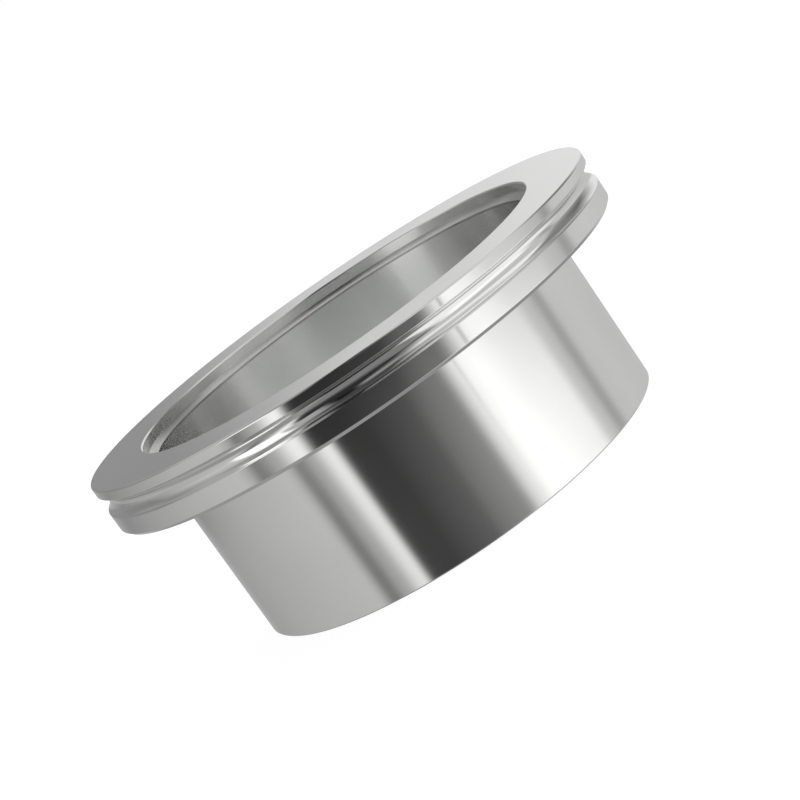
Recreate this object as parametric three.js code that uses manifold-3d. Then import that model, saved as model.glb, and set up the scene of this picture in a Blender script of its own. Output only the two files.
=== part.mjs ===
// Flanged sight glass for a vacuum line, DN 100 clamp-flange size.
// A short polished tube carries a clamp flange at its top end and a gasketed
// window cartridge inside its lower end.
// Units are millimetres. The origin is at the centre of the tube's lower end,
// and +Z points up the axis to the flange's sealing face.
import * as THREE from "three";
import { mergeVertices } from "three/addons/utils/BufferGeometryUtils.js";
import Module from "manifold-3d";

const wasm = await Module();
wasm.setup();

// ---- driving dimensions -------------------------------------------------
const SEGMENTS = 72; // facets round each large ring
const HEIGHT = 50.0; // tube's lower end to the sealing face

// clamp flange
const FLANGE_R = 65.0; // 130 mm outside diameter
const FLANGE_THICK = 12.0;
const FLANGE_BORE_R = 51.0; // 102 mm bore, seats a centring ring
const FACE_CHAMFER = 0.3;
const BACK_CHAMFER = 0.8;
const BORE_BREAK = 0.3;
const RIM_GROOVE_ARC_R = 2.5; // retaining-ring groove round the rim
const RIM_GROOVE_CENTRE_R = 65.9;
const RIM_GROOVE_BELOW_FACE = 4.7;
const CLAW_GROOVE_R = 59.6; // groove in the back face for the clamp claws
const CLAW_GROOVE_HALF = 2.4;
const CLAW_GROOVE_DEPTH = 1.4;

// tube, 4 inch outside diameter with a 1.65 mm wall
const TUBE_R = 50.8;
const TUBE_WALL = 1.65;
const TUBE_TOP = 46.0;
const TUBE_BREAK = 0.25;

// fillet welds
const ROOT_WELD_TOP = 47.55;
const SEAT_WELD_LEG = 1.15;

// window cartridge
const SEAT_R = 49.0;
const SEAT_BOTTOM = 6.0;
const SEAT_TOP = 20.0;
const SEAT_LIP_UNDER = 16.2;
const VIEW_R = 37.0; // 74 mm clear view
const POCKET_R = 42.2;
const GROOVE_IN_R = 38.0; // face-seal groove under the lip
const GROOVE_OUT_R = 41.2;
const GROOVE_TOP = 18.5;
const GLASS_R = 41.6;
const GLASS_BOTTOM = 7.9;
const GLASS_TOP = 15.9;
const GLASS_CHAMFER = 0.6;
const O_RING_R = 39.6;
const O_RING_HALF_WIDE = 1.4;
const O_RING_HALF_TALL = 1.15;
const O_RING_Z = 17.2;
const GASKET_IN_R = 37.4;
const GASKET_OUT_R = 41.8;
const GASKET_BOTTOM = 5.85;
const GASKET_TOP = 7.85;
const CLAMP_R = 48.8;
const CLAMP_BOTTOM = 1.2;
const CLAMP_TOP = 5.8;

// clamp screws, M3 x 8 with socket heads
const SCREW_COUNT = 8;
const SCREW_CIRCLE_R = 45.0;
const SCREW_HEAD_R = 2.75;
const SCREW_HEAD_TALL = 3.0;
const SCREW_SHANK_R = 1.45;
const SCREW_LENGTH = 8.0;
const SCREW_HEX = 2.5; // across flats
const SCREW_HEX_DEEP = 1.4;
const SCREW_FACE_Z = 1.35; // the head's outer face
const TAPPED_R = 1.6;
const TAPPED_TOP = 13.6;
const CLEAR_R = 1.75;
const COUNTERBORE_R = 2.95;
const COUNTERBORE_FLOOR = 4.45;

// ---- helpers --------------------------------------------------------------
// A closed profile of [radius, height] points, outer side going up, is turned
// round the Z axis.
function turned(profile, segments = SEGMENTS) {
  const pts = profile.map(([r, z]) => new THREE.Vector2(r, z));
  const onAxis = profile[0][0] === 0 && profile[profile.length - 1][0] === 0;
  if (!onAxis) pts.push(pts[0].clone());
  const g = new THREE.LatheGeometry(pts, segments);
  g.rotateX(Math.PI / 2);
  return g;
}

function solid(geometry) {
  const g = geometry.index ? geometry.toNonIndexed() : geometry.clone();
  g.deleteAttribute("normal");
  g.deleteAttribute("uv");
  const m = mergeVertices(g, 1e-4);
  return new wasm.Manifold(
    new wasm.Mesh({
      numProp: 3,
      vertProperties: m.attributes.position.array,
      triVerts: new Uint32Array(m.index.array),
    }),
  );
}

function geometryOf(manifold) {
  const mesh = manifold.getMesh();
  const g = new THREE.BufferGeometry();
  g.setAttribute(
    "position",
    new THREE.BufferAttribute(new Float32Array(mesh.vertProperties), 3),
  );
  g.setIndex(new THREE.BufferAttribute(new Uint32Array(mesh.triVerts), 1));
  g.computeVertexNormals();
  return g;
}

// A plain round bar from z0 to z1 at (x, y).
function bar(radius, z0, z1, x, y, sides = 16) {
  const g = new THREE.CylinderGeometry(radius, radius, z1 - z0, sides);
  g.rotateX(Math.PI / 2);
  g.translate(x, y, (z0 + z1) / 2);
  return g;
}

function arc(cr, cz, r, from, to, steps) {
  const pts = [];
  for (let i = 0; i <= steps; i++) {
    const a = from + ((to - from) * i) / steps;
    pts.push([cr + r * Math.cos(a), cz + r * Math.sin(a)]);
  }
  return pts;
}

const screwPlaces = Array.from({ length: SCREW_COUNT }, (_, i) => {
  const a = (2 * Math.PI * (i + 0.5)) / SCREW_COUNT;
  return [SCREW_CIRCLE_R * Math.cos(a), SCREW_CIRCLE_R * Math.sin(a), a];
});

// ---- materials --------------------------------------------------------------
const steelPolished = new THREE.MeshStandardMaterial({
  color: 0xc9cac7,
  roughness: 0.16,
  metalness: 1.0,
});
const steelTurned = new THREE.MeshStandardMaterial({
  color: 0xc4c5c2,
  roughness: 0.26,
  metalness: 1.0,
});
const weldMetal = new THREE.MeshStandardMaterial({
  color: 0xb9b8b2,
  roughness: 0.3,
  metalness: 1.0,
});
const glass = new THREE.MeshStandardMaterial({
  color: 0xe4efec,
  roughness: 0.03,
  metalness: 0.0,
  transparent: true,
  opacity: 0.35,
});
const rubber = new THREE.MeshStandardMaterial({
  color: 0x1b1a19,
  roughness: 0.7,
  metalness: 0.0,
});
const ptfe = new THREE.MeshStandardMaterial({
  color: 0xeceae4,
  roughness: 0.6,
  metalness: 0.0,
});
const screwSteel = new THREE.MeshStandardMaterial({
  color: 0xa9aaa8,
  roughness: 0.32,
  metalness: 1.0,
});

const sightGlass = new THREE.Group();
function add(name, geometry, material) {
  const mesh = new THREE.Mesh(geometry, material);
  mesh.name = name;
  sightGlass.add(mesh);
  return mesh;
}

// ---- clamp flange -------------------------------------------------------------
{
  const back = HEIGHT - FLANGE_THICK;
  const grooveZ = HEIGHT - RIM_GROOVE_BELOW_FACE;
  const off = RIM_GROOVE_CENTRE_R - FLANGE_R;
  const half = Math.sqrt(RIM_GROOVE_ARC_R ** 2 - off ** 2);
  const a0 = Math.PI + Math.atan2(half, off);
  const a1 = Math.PI - Math.atan2(half, off);
  const profile = [
    [FLANGE_BORE_R, back],
    [CLAW_GROOVE_R - CLAW_GROOVE_HALF, back],
    [CLAW_GROOVE_R - CLAW_GROOVE_HALF * 0.72, back + CLAW_GROOVE_DEPTH * 0.7],
    [CLAW_GROOVE_R - CLAW_GROOVE_HALF * 0.36, back + CLAW_GROOVE_DEPTH],
    [CLAW_GROOVE_R + CLAW_GROOVE_HALF * 0.36, back + CLAW_GROOVE_DEPTH],
    [CLAW_GROOVE_R + CLAW_GROOVE_HALF * 0.72, back + CLAW_GROOVE_DEPTH * 0.7],
    [CLAW_GROOVE_R + CLAW_GROOVE_HALF, back],
    [FLANGE_R - BACK_CHAMFER, back],
    [FLANGE_R, back + BACK_CHAMFER],
    ...arc(RIM_GROOVE_CENTRE_R, grooveZ, RIM_GROOVE_ARC_R, a0, a1, 6),
    [FLANGE_R, HEIGHT - FACE_CHAMFER],
    [FLANGE_R - FACE_CHAMFER, HEIGHT],
    [FLANGE_BORE_R + BORE_BREAK, HEIGHT],
    [FLANGE_BORE_R, HEIGHT - BORE_BREAK],
  ];
  add("flange_ring", turned(profile), steelTurned);
}

// ---- tube -----------------------------------------------------------------------
const TUBE_IN_R = TUBE_R - TUBE_WALL;
add(
  "sight_tube",
  turned([
    [TUBE_IN_R + TUBE_BREAK, 0],
    [TUBE_R - TUBE_BREAK, 0],
    [TUBE_R, TUBE_BREAK],
    [TUBE_R, TUBE_TOP],
    [TUBE_IN_R, TUBE_TOP],
    [TUBE_IN_R, TUBE_BREAK],
  ]),
  steelPolished,
);

// ---- welds ------------------------------------------------------------------------
// The root weld lies on the tube's end, inside the flange's bore.
add(
  "flange_root_weld",
  turned([
    [TUBE_IN_R + 0.1, TUBE_TOP + 0.15],
    [FLANGE_BORE_R - 0.15, TUBE_TOP + 0.15],
    [FLANGE_BORE_R - 0.15, ROOT_WELD_TOP],
    [FLANGE_BORE_R - 0.6, ROOT_WELD_TOP - 0.28],
    [TUBE_IN_R + 0.62, TUBE_TOP + 0.82],
    [TUBE_IN_R + 0.1, TUBE_TOP + 0.4],
  ]),
  weldMetal,
);
add(
  "seat_seal_weld",
  turned([
    [TUBE_IN_R - SEAT_WELD_LEG, SEAT_TOP + 0.15],
    [TUBE_IN_R - 0.15, SEAT_TOP + 0.15],
    [TUBE_IN_R - 0.15, SEAT_TOP + SEAT_WELD_LEG],
    [TUBE_IN_R - 0.42, SEAT_TOP + SEAT_WELD_LEG * 0.7],
    [TUBE_IN_R - SEAT_WELD_LEG * 0.72, SEAT_TOP + 0.4],
  ]),
  weldMetal,
);

// ---- window seat ring ----------------------------------------------------------------
{
  let ring = solid(
    turned([
      [POCKET_R + 0.3, SEAT_BOTTOM],
      [SEAT_R - 0.3, SEAT_BOTTOM],
      [SEAT_R, SEAT_BOTTOM + 0.3],
      [SEAT_R, SEAT_TOP],
      [VIEW_R + 0.8, SEAT_TOP],
      [VIEW_R, SEAT_TOP - 0.8],
      [VIEW_R, SEAT_LIP_UNDER],
      [GROOVE_IN_R, SEAT_LIP_UNDER],
      [GROOVE_IN_R, GROOVE_TOP],
      [GROOVE_OUT_R, GROOVE_TOP],
      [GROOVE_OUT_R, SEAT_LIP_UNDER],
      [POCKET_R, SEAT_LIP_UNDER],
      [POCKET_R, SEAT_BOTTOM + 0.3],
    ]),
  );
  for (const [x, y] of screwPlaces)
    ring = ring.subtract(solid(bar(TAPPED_R, SEAT_BOTTOM - 1, TAPPED_TOP, x, y, 12)));
  add("window_seat_ring", geometryOf(ring), steelTurned);
}

// ---- window, seal and cushion -----------------------------------------------------------
add(
  "window_glass",
  turned([
    [0, GLASS_BOTTOM],
    [GLASS_R - GLASS_CHAMFER, GLASS_BOTTOM],
    [GLASS_R, GLASS_BOTTOM + GLASS_CHAMFER],
    [GLASS_R, GLASS_TOP - GLASS_CHAMFER],
    [GLASS_R - GLASS_CHAMFER, GLASS_TOP],
    [0, GLASS_TOP],
  ]),
  glass,
);
add(
  "window_o_ring",
  turned(
    Array.from({ length: 8 }, (_, i) => {
      const a = (2 * Math.PI * i) / 8;
      return [
        O_RING_R + O_RING_HALF_WIDE * Math.cos(a),
        O_RING_Z + O_RING_HALF_TALL * Math.sin(a),
      ];
    }),
    60,
  ),
  rubber,
);
add(
  "window_gasket",
  turned([
    [GASKET_IN_R, GASKET_BOTTOM],
    [GASKET_OUT_R, GASKET_BOTTOM],
    [GASKET_OUT_R, GASKET_TOP],
    [GASKET_IN_R, GASKET_TOP],
  ]),
  ptfe,
);

// ---- clamp ring ------------------------------------------------------------------------------
{
  let ring = solid(
    turned([
      [VIEW_R + 0.8, CLAMP_BOTTOM],
      [CLAMP_R - 0.3, CLAMP_BOTTOM],
      [CLAMP_R, CLAMP_BOTTOM + 0.3],
      [CLAMP_R, CLAMP_TOP],
      [VIEW_R, CLAMP_TOP],
      [VIEW_R, CLAMP_BOTTOM + 0.8],
    ]),
  );
  for (const [x, y] of screwPlaces) {
    ring = ring.subtract(solid(bar(CLEAR_R, CLAMP_BOTTOM - 1, CLAMP_TOP + 1, x, y, 12)));
    ring = ring.subtract(
      solid(bar(COUNTERBORE_R, CLAMP_BOTTOM - 1, COUNTERBORE_FLOOR, x, y)),
    );
  }
  add("window_clamp_ring", geometryOf(ring), steelTurned);
}

// ---- clamp screws -------------------------------------------------------------------------------
// Each screw hangs head down, its head in a counterbore of the clamp ring.
screwPlaces.forEach(([x, y, a], i) => {
  const under = SCREW_HEAD_TALL;
  let screw = solid(
    turned(
      [
        [0, 0],
        [SCREW_HEAD_R - 0.3, 0],
        [SCREW_HEAD_R, 0.3],
        [SCREW_HEAD_R, under],
        [SCREW_SHANK_R, under],
        [SCREW_SHANK_R, under + SCREW_LENGTH - 0.5],
        [SCREW_SHANK_R - 0.45, under + SCREW_LENGTH],
        [0, under + SCREW_LENGTH],
      ],
      16,
    ),
  );
  const hex = new THREE.CylinderGeometry(
    SCREW_HEX / Math.sqrt(3),
    SCREW_HEX / Math.sqrt(3),
    SCREW_HEX_DEEP + 1,
    6,
  );
  hex.rotateX(Math.PI / 2);
  hex.translate(0, 0, (SCREW_HEX_DEEP - 1) / 2);
  screw = screw.subtract(solid(hex));
  const mesh = add(`clamp_screw_${i + 1}`, geometryOf(screw), screwSteel);
  mesh.position.set(x, y, SCREW_FACE_Z);
  mesh.rotation.z = a;
});

export default sightGlass;
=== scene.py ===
import math

import bmesh
import bpy
import numpy as np
from mathutils import Matrix, Vector


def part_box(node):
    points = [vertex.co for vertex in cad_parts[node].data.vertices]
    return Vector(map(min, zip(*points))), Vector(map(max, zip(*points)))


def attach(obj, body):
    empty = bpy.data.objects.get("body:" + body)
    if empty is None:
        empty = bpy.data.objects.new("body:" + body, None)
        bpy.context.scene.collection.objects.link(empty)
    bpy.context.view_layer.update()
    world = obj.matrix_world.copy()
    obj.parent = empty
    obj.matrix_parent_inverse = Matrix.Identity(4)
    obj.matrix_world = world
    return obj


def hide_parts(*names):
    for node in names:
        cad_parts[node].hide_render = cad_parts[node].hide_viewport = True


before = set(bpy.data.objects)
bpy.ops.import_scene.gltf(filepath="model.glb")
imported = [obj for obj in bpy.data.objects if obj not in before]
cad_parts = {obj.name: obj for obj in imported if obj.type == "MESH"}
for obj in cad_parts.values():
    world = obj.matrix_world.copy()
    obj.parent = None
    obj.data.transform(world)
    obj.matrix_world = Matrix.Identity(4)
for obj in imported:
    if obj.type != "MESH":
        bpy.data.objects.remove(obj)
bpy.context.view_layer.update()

MM = 0.001
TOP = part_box("flange_ring")[1].z / MM  # sealing face, 50 mm above the tube's lower end

# ------------------------------------------------------------------ camera
scene = bpy.context.scene
cam_data = bpy.data.cameras.new("studio_camera")
cam = bpy.data.objects.new("studio_camera", cam_data)
scene.collection.objects.link(cam)
DIST, RISE = 479.152, 65.812  # from the axis, and above the sealing face
YAW, PITCH, ROLL = 0.00334, 0.1863, -0.60679
fw = Vector((math.sin(YAW) * math.cos(PITCH), math.cos(YAW) * math.cos(PITCH), -math.sin(PITCH)))
rt = Vector((math.cos(YAW), -math.sin(YAW), 0.0))
up = rt.cross(fw)
right = rt * math.cos(ROLL) + up * math.sin(ROLL)
upward = up * math.cos(ROLL) - rt * math.sin(ROLL)
back = -fw
m = Matrix.Identity(4)
for i in range(3):
    m[i][0], m[i][1], m[i][2] = right[i], upward[i], back[i]
m[0][3], m[1][3], m[2][3] = 0.0, -DIST * MM, (TOP + RISE) * MM
cam.matrix_world = m
cam_data.sensor_width = 36.0
cam_data.lens = 2188.04 * 36.0 / 800.0
cam_data.clip_start = 0.01
cam_data.clip_end = 100.0
scene.camera = cam

# Light may bounce many times between the polished walls of the tube.
scene.cycles.max_bounces = 24
scene.cycles.glossy_bounces = 16
scene.cycles.transmission_bounces = 12

scene.view_settings.view_transform = "Standard"
scene.view_settings.look = "None"
scene.view_settings.exposure = 0.0
scene.view_settings.gamma = 1.0


# ------------------------------------------------------------------ node helpers
class Nodes:
    """A short way to write a node tree."""

    def __init__(self, tree):
        self.tree = tree
        tree.nodes.clear()

    def new(self, kind, **props):
        n = self.tree.nodes.new(kind)
        for k, v in props.items():
            setattr(n, k, v)
        return n

    def link(self, a, b):
        self.tree.links.new(a, b)

    def feed(self, socket, value):
        if isinstance(value, bpy.types.NodeSocket):
            self.link(value, socket)
        else:
            socket.default_value = value

    def math(self, op, a, b=0.0, c=0.0, clamp=False):
        n = self.new("ShaderNodeMath", operation=op, use_clamp=clamp)
        for s, v in zip(n.inputs, (a, b, c)):
            self.feed(s, v)
        return n.outputs[0]

    def ramp(self, fac, stops, interpolation="LINEAR"):
        n = self.new("ShaderNodeValToRGB")
        cr = n.color_ramp
        cr.interpolation = interpolation
        while len(cr.elements) > 1:
            cr.elements.remove(cr.elements[-1])
        for i, (p, v) in enumerate(stops):
            e = cr.elements[0] if i == 0 else cr.elements.new(p)
            e.position = p
            e.color = (v, v, v, 1.0) if isinstance(v, (int, float)) else (*v, 1.0)
        self.feed(n.inputs[0], fac)
        return n.outputs[0]

    def mix(self, fac, a, b):
        n = self.new("ShaderNodeMix", data_type="FLOAT")
        self.feed(n.inputs[0], fac)
        self.feed(n.inputs[2], a)
        self.feed(n.inputs[3], b)
        return n.outputs[0]

    def mix_colour(self, fac, a, b, blend="MIX"):
        n = self.new("ShaderNodeMix", data_type="RGBA", blend_type=blend)
        self.feed(n.inputs[0], fac)
        for s, v in ((n.inputs[6], a), (n.inputs[7], b)):
            self.feed(s, v if isinstance(v, bpy.types.NodeSocket) else (*v, 1.0))
        return n.outputs[2]

    def step(self, x, lo, hi):
        n = self.new("ShaderNodeMapRange", interpolation_type="SMOOTHSTEP")
        self.feed(n.inputs[0], x)
        n.inputs[1].default_value, n.inputs[2].default_value = lo, hi
        n.inputs[3].default_value, n.inputs[4].default_value = 0.0, 1.0
        return n.outputs[0]


# ------------------------------------------------------------------ studio light
# A light tent round the part, as seven rings of cloth from below to overhead.
# Each ring is laid out by azimuth: degrees, 0 is the camera's side and positive
# is to its right. White boards stand at the right, a strip light at the left,
# and a black flag in front that fades to grey.
TENT = [
    ("below", None, [
        (-180, 0.31), (-120, 0.38), (-56, 0.33), (-36, 0.37), (-31.5, 0.25), (23, 0.25), (29.5, 1.09),
        (108, 1.09), (127, 0.33), (180, 0.31),
    ]),
    ("low sides", (-26, 16), [
        (-180, 0.52), (-150, 0.40), (-120, 0.49), (-63, 0.61), (-59.5, 0.42), (-57, 0.20), (-53.5, 0.22),
        (-50.5, 0.38), (-45.5, 0.50), (-40.5, 0.90), (-36.8, 1.04), (-35, 0.60), (-33.2, 0.09), (-30, 0.06),
        (-18, 0.06), (-5, 0.11), (5, 0.15), (10, 0.23), (24, 0.33), (26.5, 0.40), (30.5, 0.84), (38.5, 1.24),
        (45, 1.44), (55, 1.37), (80, 1.16), (86, 0.74), (92, 0.60), (95.5, 0.42), (98.5, 0.44), (104, 0.64),
        (118, 0.66), (180, 0.52),
    ]),
    ("sides", (-10.7, 0.8), [
        (-180, 0.52), (-145, 0.30), (-90, 0.53), (-66, 0.62), (-61.5, 0.47), (-58, 0.22), (-55.5, 0.28),
        (-52, 0.42), (-47.5, 0.54), (-42.5, 1.05), (-40, 1.20), (-37.6, 1.12), (-35.6, 0.50), (-33.5, 0.06),
        (-31, 0.03), (-15, 0.03), (8, 0.04), (17, 0.12), (24.5, 0.125), (27.5, 0.26), (31.5, 0.72),
        (33.5, 1.03), (39.5, 1.20), (50, 1.06), (60, 0.79), (80, 0.67), (93, 0.58), (97, 0.40), (99.5, 0.42),
        (104, 0.67), (118, 0.70), (180, 0.52),
    ]),
    ("just above level", (-1, 5), [
        (-180, 0.66), (-178.5, 0.55), (-175, 0.31), (-118, 0.30), (-100, 0.50), (-67, 0.64), (-63, 1.50), (-45, 1.45),
        (-41, 1.00), (-36.5, 1.00), (-34, 0.12), (-32, 0.03), (10, 0.03), (22, 0.45), (31, 0.65), (92, 0.65),
        (104, 0.40), (130, 0.25), (150, 0.70), (158, 0.86), (172, 0.84), (177, 0.71), (180, 0.66),
    ]),
    ("high", (9, 6), [
        (-180, 0.66), (-178.5, 0.55), (-175, 0.31), (-118, 0.27), (-100, 0.50), (-85, 0.64), (-66.5, 0.66),
        (-62.5, 1.90), (-44.5, 1.85), (-41, 0.55), (-26, 0.45), (-20, 0.02), (-2, 0.04), (12, 0.16),
        (24.5, 0.65), (94, 0.63), (101.5, 0.33), (130, 0.16), (150, 0.70), (158, 0.86), (172, 0.84),
        (177, 0.71), (180, 0.66),
    ]),
    ("higher", (24, 10), [
        (-180, 0.60), (-150, 0.40), (-120, 0.30), (-90, 0.50), (-66.5, 0.63), (-62.5, 1.50), (-44.5, 1.50),
        (-41, 0.50), (-26, 0.42), (-19, 0.00), (-9, 0.02), (-4, 0.33), (15.5, 0.35), (25, 0.99), (94, 1.10),
        (99, 0.46), (104, 0.26), (140, 0.26), (180, 0.60),
    ]),
    ("overhead", (45, 20), [
        (-180, 0.83), (-125, 0.78), (-95, 0.34), (-60, 0.30), (-46, 0.25), (-30, 0.07), (14, 0.07),
        (30, 0.45), (50, 0.65), (90, 0.70), (122, 0.83), (180, 0.83),
    ]),
]
world = bpy.data.worlds.new("light_tent")
scene.world = world
world.use_nodes = True
w = Nodes(world.node_tree)
xyz = w.new("ShaderNodeSeparateXYZ")
w.link(w.new("ShaderNodeTexCoord").outputs["Generated"], xyz.inputs[0])
azimuth = w.math("ARCTAN2", xyz.outputs[0], w.math("MULTIPLY", xyz.outputs[1], -1.0))
turn = w.math("ADD", w.math("DIVIDE", azimuth, 2 * math.pi), 0.5)
rise = w.math("MULTIPLY", w.math("ARCSINE", xyz.outputs[2]), 180 / math.pi)
tent = None
for name, edge, stops in TENT:
    ring = w.ramp(turn, [((a + 180.0) / 360.0, v) for a, v in stops])
    if edge is None:
        tent = ring
    else:  # the height where this ring begins, and how softly
        tent = w.mix(w.step(rise, edge[0] - edge[1] / 2, edge[0] + edge[1] / 2), tent, ring)
# one thin stand shows between the white boards
degrees = w.math("MULTIPLY", azimuth, 180 / math.pi)
post = w.math("MULTIPLY", w.step(degrees, 34.5, 35.1), w.math("SUBTRACT", 1.0, w.step(degrees, 35.9, 36.5)))
foot = w.math("MULTIPLY", w.step(rise, -11.4, -10.4), w.math("SUBTRACT", 1.0, w.step(rise, -8.0, -7.0)))
tent = w.mix(w.math("MULTIPLY", post, foot), tent, 0.30)
bg = w.new("ShaderNodeBackground")
w.link(tent, bg.inputs["Color"])
bg.inputs["Strength"].default_value = 1.0
seen = w.new("ShaderNodeBackground")  # the white backdrop itself
seen.inputs["Color"].default_value = (1.0, 1.0, 1.0, 1.0)
pick = w.new("ShaderNodeMixShader")
w.link(w.new("ShaderNodeLightPath").outputs["Is Camera Ray"], pick.inputs[0])
w.link(bg.outputs[0], pick.inputs[1])
w.link(seen.outputs[0], pick.inputs[2])
w.link(pick.outputs[0], w.new("ShaderNodeOutputWorld").inputs["Surface"])


# ------------------------------------------------------------------ mesh helpers
def arc(cr, cz, r, a0, a1, steps):
    """Points of an arc in the (radius, height) plane, angles in degrees."""
    out = []
    for i in range(steps + 1):
        a = math.radians(a0 + (a1 - a0) * i / steps)
        out.append((cr + r * math.cos(a), cz + r * math.sin(a)))
    return out


def rounded(points, radii, closed=True, steps=4):
    """Rounds each corner of a profile by its own radius (0 keeps it sharp)."""
    out = []
    n = len(points)
    for i, (p, r) in enumerate(zip(points, radii)):
        if r <= 0 or (not closed and i in (0, n - 1)):
            out.append(tuple(p))
            continue
        p = Vector(p)
        a, b = Vector(points[i - 1]), Vector(points[(i + 1) % n])
        u, v = (a - p), (b - p)
        lu, lv = u.length, v.length
        u.normalize(); v.normalize()
        half = math.acos(max(-1.0, min(1.0, u.dot(v)))) / 2
        if half > math.radians(88):
            out.append(tuple(p))
            continue
        t = min(r / math.tan(half), 0.45 * lu, 0.45 * lv)
        rr = t * math.tan(half)
        c = p + (u + v).normalized() * (rr / math.sin(half))
        s, e = p + u * t - c, p + v * t - c
        a0, a1 = math.atan2(s.y, s.x), math.atan2(e.y, e.x)
        d = (a1 - a0 + math.pi) % (2 * math.pi) - math.pi
        for k in range(steps + 1):
            q = a0 + d * k / steps
            out.append((c.x + rr * math.cos(q), c.y + rr * math.sin(q)))
    return held(out, closed)


def held(points, closed=True, gap=0.03):
    """Adds a point just inside both ends of each long straight run, so that
    smooth shading leaves the flats flat."""
    out = []
    n = len(points)
    for i, p in enumerate(points):
        out.append(tuple(p))
        if i == n - 1 and not closed:
            break
        q = points[(i + 1) % n]
        run = math.dist(p, q)
        if run > 0.5:
            for k in (gap / run, 1 - gap / run):
                out.append((p[0] + (q[0] - p[0]) * k, p[1] + (q[1] - p[1]) * k))
    return out


def object_from(name, verts, faces, smooth=True):
    mesh = bpy.data.meshes.new(name)
    mesh.from_pydata(verts, [], faces)
    mesh.validate()
    bm = bmesh.new()
    bm.from_mesh(mesh)
    bmesh.ops.remove_doubles(bm, verts=bm.verts, dist=1e-7)
    bmesh.ops.recalc_face_normals(bm, faces=bm.faces)
    bm.to_mesh(mesh)
    bm.free()
    o = bpy.data.objects.new(name, mesh)
    scene.collection.objects.link(o)
    return o


def lathe(name, profile, segments, shift=None, closed=True):
    """Turns a profile of (radius, height) in mm round Z. shift(radius, height,
    angle) may move each point, for beads and ripples. A point on the axis is
    shared by all segments."""
    verts, rows = [], []
    for r, z in profile:
        if r <= 1e-9:
            rows.append([len(verts)] * segments)
            verts.append((0.0, 0.0, z * MM))
            continue
        row = []
        for j in range(segments):
            a = 2 * math.pi * j / segments
            rr, zz = shift(r, z, a) if shift else (r, z)
            row.append(len(verts))
            verts.append((rr * math.cos(a) * MM, rr * math.sin(a) * MM, zz * MM))
        rows.append(row)
    faces = []
    n = len(rows)
    for i in range(n if closed else n - 1):
        a, b = rows[i], rows[(i + 1) % n]
        for j in range(segments):
            k = (j + 1) % segments
            f = [a[j], a[k], b[k], b[j]]
            g = []
            for q in f:
                if q not in g:
                    g.append(q)
            if len(g) > 2:
                faces.append(g)
    return object_from(name, verts, faces)


def shade(o, angle=30.0):
    """Smooth shading with edges kept sharp above an angle."""
    bpy.ops.object.select_all(action="DESELECT")
    o.select_set(True)
    bpy.context.view_layer.objects.active = o
    bpy.ops.object.shade_smooth_by_angle(angle=math.radians(angle))
    for mod in list(o.modifiers):
        bpy.ops.object.modifier_apply(modifier=mod.name)
    o.select_set(False)


def cut(o, tool):
    mod = o.modifiers.new("cut", "BOOLEAN")
    mod.operation = "DIFFERENCE"
    mod.solver = "EXACT"
    mod.object = tool
    bpy.context.view_layer.objects.active = o
    bpy.ops.object.modifier_apply(modifier=mod.name)
    bpy.data.objects.remove(tool)


def finish_piece(o, nodes, material, angle=30.0):
    shade(o, angle)
    o.data.materials.clear()
    o.data.materials.append(material)
    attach(o, "root")
    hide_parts(*nodes)
    return o


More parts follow.
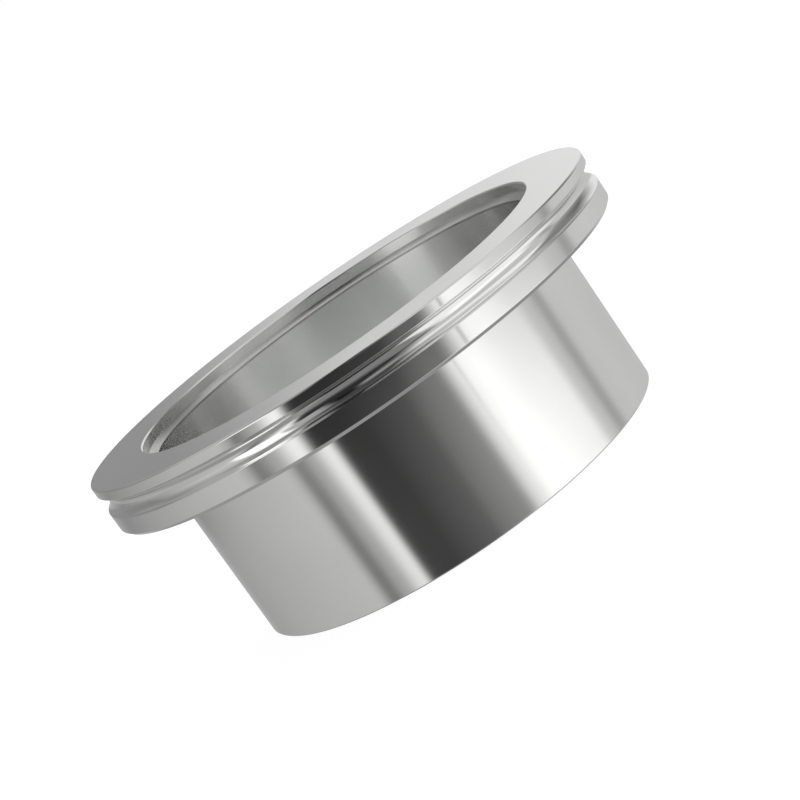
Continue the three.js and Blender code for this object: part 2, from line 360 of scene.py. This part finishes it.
# ------------------------------------------------------------------ materials
def turned_steel(name, colour, rough, lines_mm, depth, cloud=0.03, tint=0.04, aniso=0.0):
    """Stainless steel with the fine rings that turning and polishing leave:
    they run round the axis on every face."""
    mat = bpy.data.materials.new(name)
    mat.use_nodes = True
    t = Nodes(mat.node_tree)
    co = t.new("ShaderNodeTexCoord").outputs["Object"]
    sep = t.new("ShaderNodeSeparateXYZ")
    t.link(co, sep.inputs[0])
    x, y, z = sep.outputs
    radius = t.math("SQRT", t.math("ADD", t.math("MULTIPLY", x, x), t.math("MULTIPLY", y, y)))
    angle = t.math("ARCTAN2", y, x)
    # ring pattern: fast across the axis direction and radius, slow round the part
    ring = t.new("ShaderNodeCombineXYZ")
    t.link(t.math("MULTIPLY", radius, 1000.0 / lines_mm), ring.inputs[0])
    t.link(t.math("MULTIPLY", z, 1000.0 / lines_mm), ring.inputs[1])
    t.link(t.math("MULTIPLY", t.math("SINE", angle), 0.6), ring.inputs[2])
    fine = t.new("ShaderNodeTexNoise", noise_dimensions="3D")
    t.link(ring.outputs[0], fine.inputs["Vector"])
    fine.inputs["Scale"].default_value = 1.0
    fine.inputs["Detail"].default_value = 3.0
    fine.inputs["Roughness"].default_value = 0.6
    soft = t.new("ShaderNodeTexNoise", noise_dimensions="3D")
    t.link(co, soft.inputs["Vector"])
    soft.inputs["Scale"].default_value = 55.0
    soft.inputs["Detail"].default_value = 4.0
    soft.inputs["Roughness"].default_value = 0.55
    shader = t.new("ShaderNodeBsdfPrincipled")
    shader.inputs["Metallic"].default_value = 1.0
    lo = tuple(c * (1 - tint) for c in colour)
    hi = tuple(min(1.0, c * (1 + tint)) for c in colour)
    base = t.mix_colour(t.step(soft.outputs[0], 0.3, 0.7), lo, hi)
    t.link(base, shader.inputs["Base Color"])
    r1 = t.math("MULTIPLY_ADD", fine.outputs[0], 2 * cloud, rough - cloud)
    r2 = t.math("MULTIPLY_ADD", soft.outputs[0], cloud, r1)
    t.link(t.math("SUBTRACT", r2, cloud * 0.5, clamp=True), shader.inputs["Roughness"])
    if depth:
        bump = t.new("ShaderNodeBump")
        bump.inputs["Strength"].default_value = 1.0
        bump.inputs["Distance"].default_value = depth * MM
        t.link(fine.outputs[0], bump.inputs["Height"])
        t.link(bump.outputs[0], shader.inputs["Normal"])
    if aniso:
        # the rings spread a highlight across themselves and keep it sharp along
        shader.inputs["Anisotropic"].default_value = aniso
        shader.inputs["Anisotropic Rotation"].default_value = 0.25
        t.link(t.new("ShaderNodeTangent", direction_type="RADIAL", axis="Z").outputs[0], shader.inputs["Tangent"])
    t.link(shader.outputs[0], t.new("ShaderNodeOutputMaterial").inputs[0])
    return mat


mat_flange = turned_steel("turned_stainless", (0.78, 0.78, 0.772), 0.10, 0.25, 0.0002, 0.012, 0.015, 0.5)
mat_bore = turned_steel("bored_stainless", (0.78, 0.78, 0.772), 0.23, 0.6, 0.0, 0.004, 0.015, 1.0)
mat_tube = turned_steel("polished_stainless", (0.78, 0.78, 0.772), 0.13, 0.35, 0.0001, 0.015, 0.015, 0.7)
mat_seat = turned_steel("seat_stainless", (0.74, 0.74, 0.73), 0.14, 0.3, 0.0008, 0.03, 0.02)
mat_screw = turned_steel("screw_stainless", (0.62, 0.62, 0.61), 0.28, 0.2, 0.001, 0.06, 0.08)


def weld_steel(name):
    mat = bpy.data.materials.new(name)
    mat.use_nodes = True
    t = Nodes(mat.node_tree)
    co = t.new("ShaderNodeTexCoord").outputs["Object"]
    grain = t.new("ShaderNodeTexNoise")
    t.link(co, grain.inputs["Vector"])
    grain.inputs["Scale"].default_value = 900.0
    grain.inputs["Detail"].default_value = 3.0
    heat = t.new("ShaderNodeTexNoise")
    t.link(co, heat.inputs["Vector"])
    heat.inputs["Scale"].default_value = 90.0
    heat.inputs["Detail"].default_value = 3.0
    shader = t.new("ShaderNodeBsdfPrincipled")
    shader.inputs["Metallic"].default_value = 1.0
    base = t.mix_colour(t.step(heat.outputs[0], 0.35, 0.7), (0.55, 0.55, 0.54), (0.60, 0.595, 0.58))
    t.link(base, shader.inputs["Base Color"])
    t.link(t.math("MULTIPLY_ADD", grain.outputs[0], 0.12, 0.18), shader.inputs["Roughness"])
    bump = t.new("ShaderNodeBump")
    bump.inputs["Distance"].default_value = 0.004 * MM
    t.link(grain.outputs[0], bump.inputs["Height"])
    t.link(bump.outputs[0], shader.inputs["Normal"])
    t.link(shader.outputs[0], t.new("ShaderNodeOutputMaterial").inputs[0])
    return mat


mat_weld = weld_steel("weld_stainless")


def window_material():
    mat = bpy.data.materials.new("borosilicate")
    mat.use_nodes = True
    t = Nodes(mat.node_tree)
    co = t.new("ShaderNodeTexCoord").outputs["Object"]
    haze = t.new("ShaderNodeTexNoise")
    t.link(co, haze.inputs["Vector"])
    haze.inputs["Scale"].default_value = 120.0
    haze.inputs["Detail"].default_value = 4.0
    shader = t.new("ShaderNodeBsdfPrincipled")
    shader.inputs["IOR"].default_value = 1.47
    shader.inputs["Transmission Weight"].default_value = 1.0
    t.link(t.mix_colour(haze.outputs[0], (0.93, 0.975, 0.965), (0.96, 0.99, 0.982)), shader.inputs["Base Color"])
    t.link(t.math("MULTIPLY_ADD", haze.outputs[0], 0.02, 0.005), shader.inputs["Roughness"])
    t.link(shader.outputs[0], t.new("ShaderNodeOutputMaterial").inputs[0])
    return mat


def soft_material(name, a, b, rough, scale, depth, spec):
    mat = bpy.data.materials.new(name)
    mat.use_nodes = True
    t = Nodes(mat.node_tree)
    co = t.new("ShaderNodeTexCoord").outputs["Object"]
    n = t.new("ShaderNodeTexNoise")
    t.link(co, n.inputs["Vector"])
    n.inputs["Scale"].default_value = scale
    n.inputs["Detail"].default_value = 5.0
    n.inputs["Roughness"].default_value = 0.6
    shader = t.new("ShaderNodeBsdfPrincipled")
    shader.inputs["Specular IOR Level"].default_value = spec
    t.link(t.mix_colour(n.outputs[0], a, b), shader.inputs["Base Color"])
    t.link(t.math("MULTIPLY_ADD", n.outputs[0], 0.15, rough - 0.07), shader.inputs["Roughness"])
    bump = t.new("ShaderNodeBump")
    bump.inputs["Distance"].default_value = depth * MM
    t.link(n.outputs[0], bump.inputs["Height"])
    t.link(bump.outputs[0], shader.inputs["Normal"])
    t.link(shader.outputs[0], t.new("ShaderNodeOutputMaterial").inputs[0])
    return mat


mat_glass = window_material()
mat_rubber = soft_material("black_elastomer", (0.016, 0.016, 0.015), (0.03, 0.029, 0.028), 0.55, 1500.0, 0.01, 0.4)
mat_ptfe = soft_material("white_gasket", (0.82, 0.81, 0.78), (0.90, 0.89, 0.865), 0.55, 700.0, 0.01, 0.3)



def bored(o, radius):
    """A bored wall keeps its own, coarser rings."""
    o.data.materials.append(mat_bore)
    for face in o.data.polygons:
        if math.hypot(face.center.x, face.center.y) < (radius + 0.02) * MM and abs(face.normal.z) < 0.5:
            face.material_index = 1


# ------------------------------------------------------------------ clamp flange
SEG = 384
R_RIM, R_BORE = 65.0, 51.0
BACK = TOP - 12.0
GROOVE_Z = TOP - 4.7
off = 0.9
half = math.sqrt(2.5 ** 2 - off ** 2)
ga = math.degrees(math.atan2(half, off))
groove = arc(R_RIM + off, GROOVE_Z, 2.5, 180 + ga, 180 - ga, 22)
claw = [(57.2, BACK), (57.75, BACK + 0.95), (58.75, BACK + 1.4), (60.45, BACK + 1.4), (61.45, BACK + 0.95), (62.0, BACK)]
pts, rad = [], []


def corner(p, r=0.0):
    pts.append(p)
    rad.append(r)


corner((R_BORE, BACK), 0.12)
corner(claw[0], 0.15)
corner(claw[1], 0.35)
corner(claw[2], 0.45)
corner(claw[3], 0.45)
corner(claw[4], 0.35)
corner(claw[5], 0.15)
corner((R_RIM - 0.8, BACK), 0.12)
corner((R_RIM, BACK + 0.8), 0.12)
corner(groove[0], 0.14)
for g in groove[1:-1]:
    corner(g)
corner(groove[-1], 0.14)
corner((R_RIM, TOP - 0.3), 0.25)
corner((R_RIM - 0.3, TOP), 0.25)
corner((R_BORE + 0.3, TOP), 0.12)
corner((R_BORE, TOP - 0.3), 0.12)
flange = lathe("flange_ring_body", rounded(pts, rad), SEG)
finish_piece(flange, ["flange_ring"], mat_flange, 40)
bored(flange, R_BORE)

# ------------------------------------------------------------------ tube
R_OUT, R_IN, TUBE_TOP = 50.8, 49.15, 46.0
tube = lathe(
    "sight_tube_body",
    rounded(
        [(R_IN + 0.25, 0.0), (R_OUT - 0.25, 0.0), (R_OUT, 0.25), (R_OUT, TUBE_TOP), (R_IN, TUBE_TOP), (R_IN, 0.25)],
        [0.08, 0.08, 0.08, 0.1, 0.0, 0.08],
    ),
    SEG,
)
finish_piece(tube, ["sight_tube"], mat_tube, 40)
bored(tube, R_IN)


# ------------------------------------------------------------------ welds
def ripple(count, amount, inward):
    def shift(r, z, a):
        k = 0.5 + 0.5 * math.sin(count * a + 0.7 * math.sin(5 * a))
        if inward(r, z):
            return r, z - amount * k
        return r, z
    return shift


root = lathe(
    "flange_root_weld_bead",
    rounded(
        [(R_IN - 0.01, TUBE_TOP - 0.05), (R_BORE + 0.02, TUBE_TOP - 0.05), (R_BORE + 0.02, TOP - 2.45), (50.75, TOP - 2.62), (50.1, TOP - 3.0), (R_IN - 0.01, TOP - 3.55)],
        [0, 0, 0, 0.3, 0.8, 0.08],
    ),
    SEG,
)
finish_piece(root, ["flange_root_weld"], mat_weld, 50)

bead = []
for i in range(9):
    q = i / 8
    bead.append((R_IN - 0.02 - 1.15 * (1 - q), 20.02 + 1.15 * q - 0.28 * math.sin(math.pi * q)))
seal = lathe(
    "seat_seal_weld_bead",
    [(R_IN - 0.02, 20.02)] + bead[::-1],
    720,
    shift=ripple(170, 0.10, lambda r, z: 20.1 < z < 21.0 and r < R_IN - 0.05),
)
finish_piece(seal, ["seat_seal_weld"], mat_weld, 50)

# ------------------------------------------------------------------ window seat
screws = [(45.0 * math.cos(a), 45.0 * math.sin(a), a) for a in [2 * math.pi * (i + 0.5) / 8 for i in range(8)]]


def bar(x, y, r, z0, z1, segments=48):
    o = lathe("bar", [(0, z0), (r, z0), (r, z1), (0, z1)], segments, closed=False)
    for v in o.data.vertices:
        v.co.x += x * MM
        v.co.y += y * MM
    return o


def union_of(tools):
    bm = bmesh.new()
    for o in tools:
        bm.from_mesh(o.data)
        bpy.data.objects.remove(o)
    mesh = bpy.data.meshes.new("tool")
    bm.to_mesh(mesh)
    bm.free()
    o = bpy.data.objects.new("tool", mesh)
    scene.collection.objects.link(o)
    return o


seat = lathe(
    "window_seat_ring_body",
    rounded(
        [(42.5, 6.0), (48.7, 6.0), (49.0, 6.3), (49.0, 20.0), (37.8, 20.0), (37.0, 19.2), (37.0, 16.2), (38.0, 16.2),
         (38.0, 18.5), (41.2, 18.5), (41.2, 16.2), (42.2, 16.2), (42.2, 6.3)],
        [0.08, 0.08, 0.08, 0.1, 0.15, 0.15, 0.1, 0.1, 0.25, 0.25, 0.1, 0.1, 0.08],
    ),
    288,
)
cut(seat, union_of([bar(x, y, 1.6, 5.0, 13.6, 32) for x, y, a in screws]))
finish_piece(seat, ["window_seat_ring"], mat_seat, 30)

# ------------------------------------------------------------------ window
glass = lathe(
    "window_glass_disc",
    rounded(
        [(0, 7.9), (41.0, 7.9), (41.6, 8.5), (41.6, 15.3), (41.0, 15.9), (0, 15.9)],
        [0, 0.15, 0.15, 0.15, 0.15, 0],
        closed=False,
    ),
    256,
    closed=False,
)
finish_piece(glass, ["window_glass"], mat_glass, 25)

oring = lathe(
    "window_o_ring_cord",
    [(39.6 + 1.4 * math.cos(2 * math.pi * i / 28), 17.2 + 1.15 * math.sin(2 * math.pi * i / 28)) for i in range(28)],
    256,
)
finish_piece(oring, ["window_o_ring"], mat_rubber, 60)

gasket = lathe(
    "window_gasket_washer",
    rounded([(37.4, 5.85), (41.8, 5.85), (41.8, 7.85), (37.4, 7.85)], [0.2, 0.2, 0.2, 0.2]),
    256,
)
finish_piece(gasket, ["window_gasket"], mat_ptfe, 40)

# ------------------------------------------------------------------ clamp ring
clamp = lathe(
    "window_clamp_ring_body",
    rounded(
        [(37.8, 1.2), (48.5, 1.2), (48.8, 1.5), (48.8, 5.8), (37.0, 5.8), (37.0, 2.0)],
        [0.15, 0.1, 0.1, 0.1, 0.1, 0.15],
    ),
    288,
)
tools = []
for x, y, a in screws:
    o = lathe(
        "bore",
        [(0, 0.2), (3.2, 0.2), (3.2, 1.15), (2.95, 1.4), (2.95, 4.45), (1.75, 4.45), (1.75, 6.8), (0, 6.8)],
        40,
        closed=False,
    )
    for v in o.data.vertices:
        v.co.x += x * MM
        v.co.y += y * MM
    tools.append(o)
cut(clamp, union_of(tools))
finish_piece(clamp, ["window_clamp_ring"], mat_seat, 30)


# ------------------------------------------------------------------ screws
def screw(name):
    head = [(0, 0.0), (2.45, 0.0), (2.75, 0.3), (2.75, 3.0), (1.45, 3.0)]
    thread = []
    z = 3.3
    while z < 10.4:
        thread += [(1.45, z), (1.22, z + 0.25)]
        z += 0.5
    tip = [(1.4, 10.6), (1.0, 11.0), (0, 11.0)]
    seg = 64

    def knurl(r, z, a):
        if r > 2.7 and 0.35 < z < 2.95:
            return r - 0.07 * (0.5 + 0.5 * math.cos(32 * a)), z
        return r, z

    body = [(0, 0.0)] + rounded([(2.45, 0.0), (2.75, 0.3)], [0, 0], closed=False) + [(2.75, 0.45), (2.75, 2.8), (2.65, 3.0), (1.45, 3.0)] + thread + tip
    o = lathe(name, body, seg, shift=knurl, closed=False)
    # hexagon socket
    r6 = 2.5 / math.sqrt(3)
    v, f = [], []
    for z in (-1.0, 1.4):
        for k in range(6):
            a = math.pi / 3 * k
            v.append((r6 * math.cos(a) * MM, r6 * math.sin(a) * MM, z * MM))
    v.append((0, 0, 2.0 * MM))
    f.append([5, 4, 3, 2, 1, 0])
    for k in range(6):
        n = (k + 1) % 6
        f.append([k, n, 6 + n, 6 + k])
        f.append([6 + k, 6 + n, 12])
    hexagon = object_from("hexagon", v, f)
    cut(o, hexagon)
    lead = lathe("lead", [(0, -0.5), (1.75, -0.5), (1.42, 0.14), (0, 0.14)], 48, closed=False)
    cut(o, lead)
    return o


for i, (x, y, a) in enumerate(screws):
    o = screw(f"clamp_screw_{i + 1}_body")
    o.data.transform(Matrix.Translation((x * MM, y * MM, 1.35 * MM)) @ Matrix.Rotation(a + 0.4 * math.sin(7.3 * i + 1.0), 4, "Z"))
    finish_piece(o, [f"clamp_screw_{i + 1}"], mat_screw, 30)

# ------------------------------------------------------------------ floor
floor = object_from("studio_floor", [(-6, -6, 0), (6, -6, 0), (6, 6, 0), (-6, 6, 0)], [[0, 1, 2, 3]])
fmat = bpy.data.materials.new("studio_floor")
fmat.use_nodes = True
f = Nodes(fmat.node_tree)
diff = f.new("ShaderNodeBsdfDiffuse")
diff.inputs["Color"].default_value = (0.4, 0.4, 0.4, 1)
emit = f.new("ShaderNodeEmission")
emit.inputs["Strength"].default_value = 0.85
add = f.new("ShaderNodeAddShader")
f.link(diff.outputs[0], add.inputs[0])
f.link(emit.outputs[0], add.inputs[1])
f.link(add.outputs[0], f.new("ShaderNodeOutputMaterial").inputs[0])
floor.data.materials.append(fmat)
floor.visible_glossy = False
floor.location.z = -0.0002
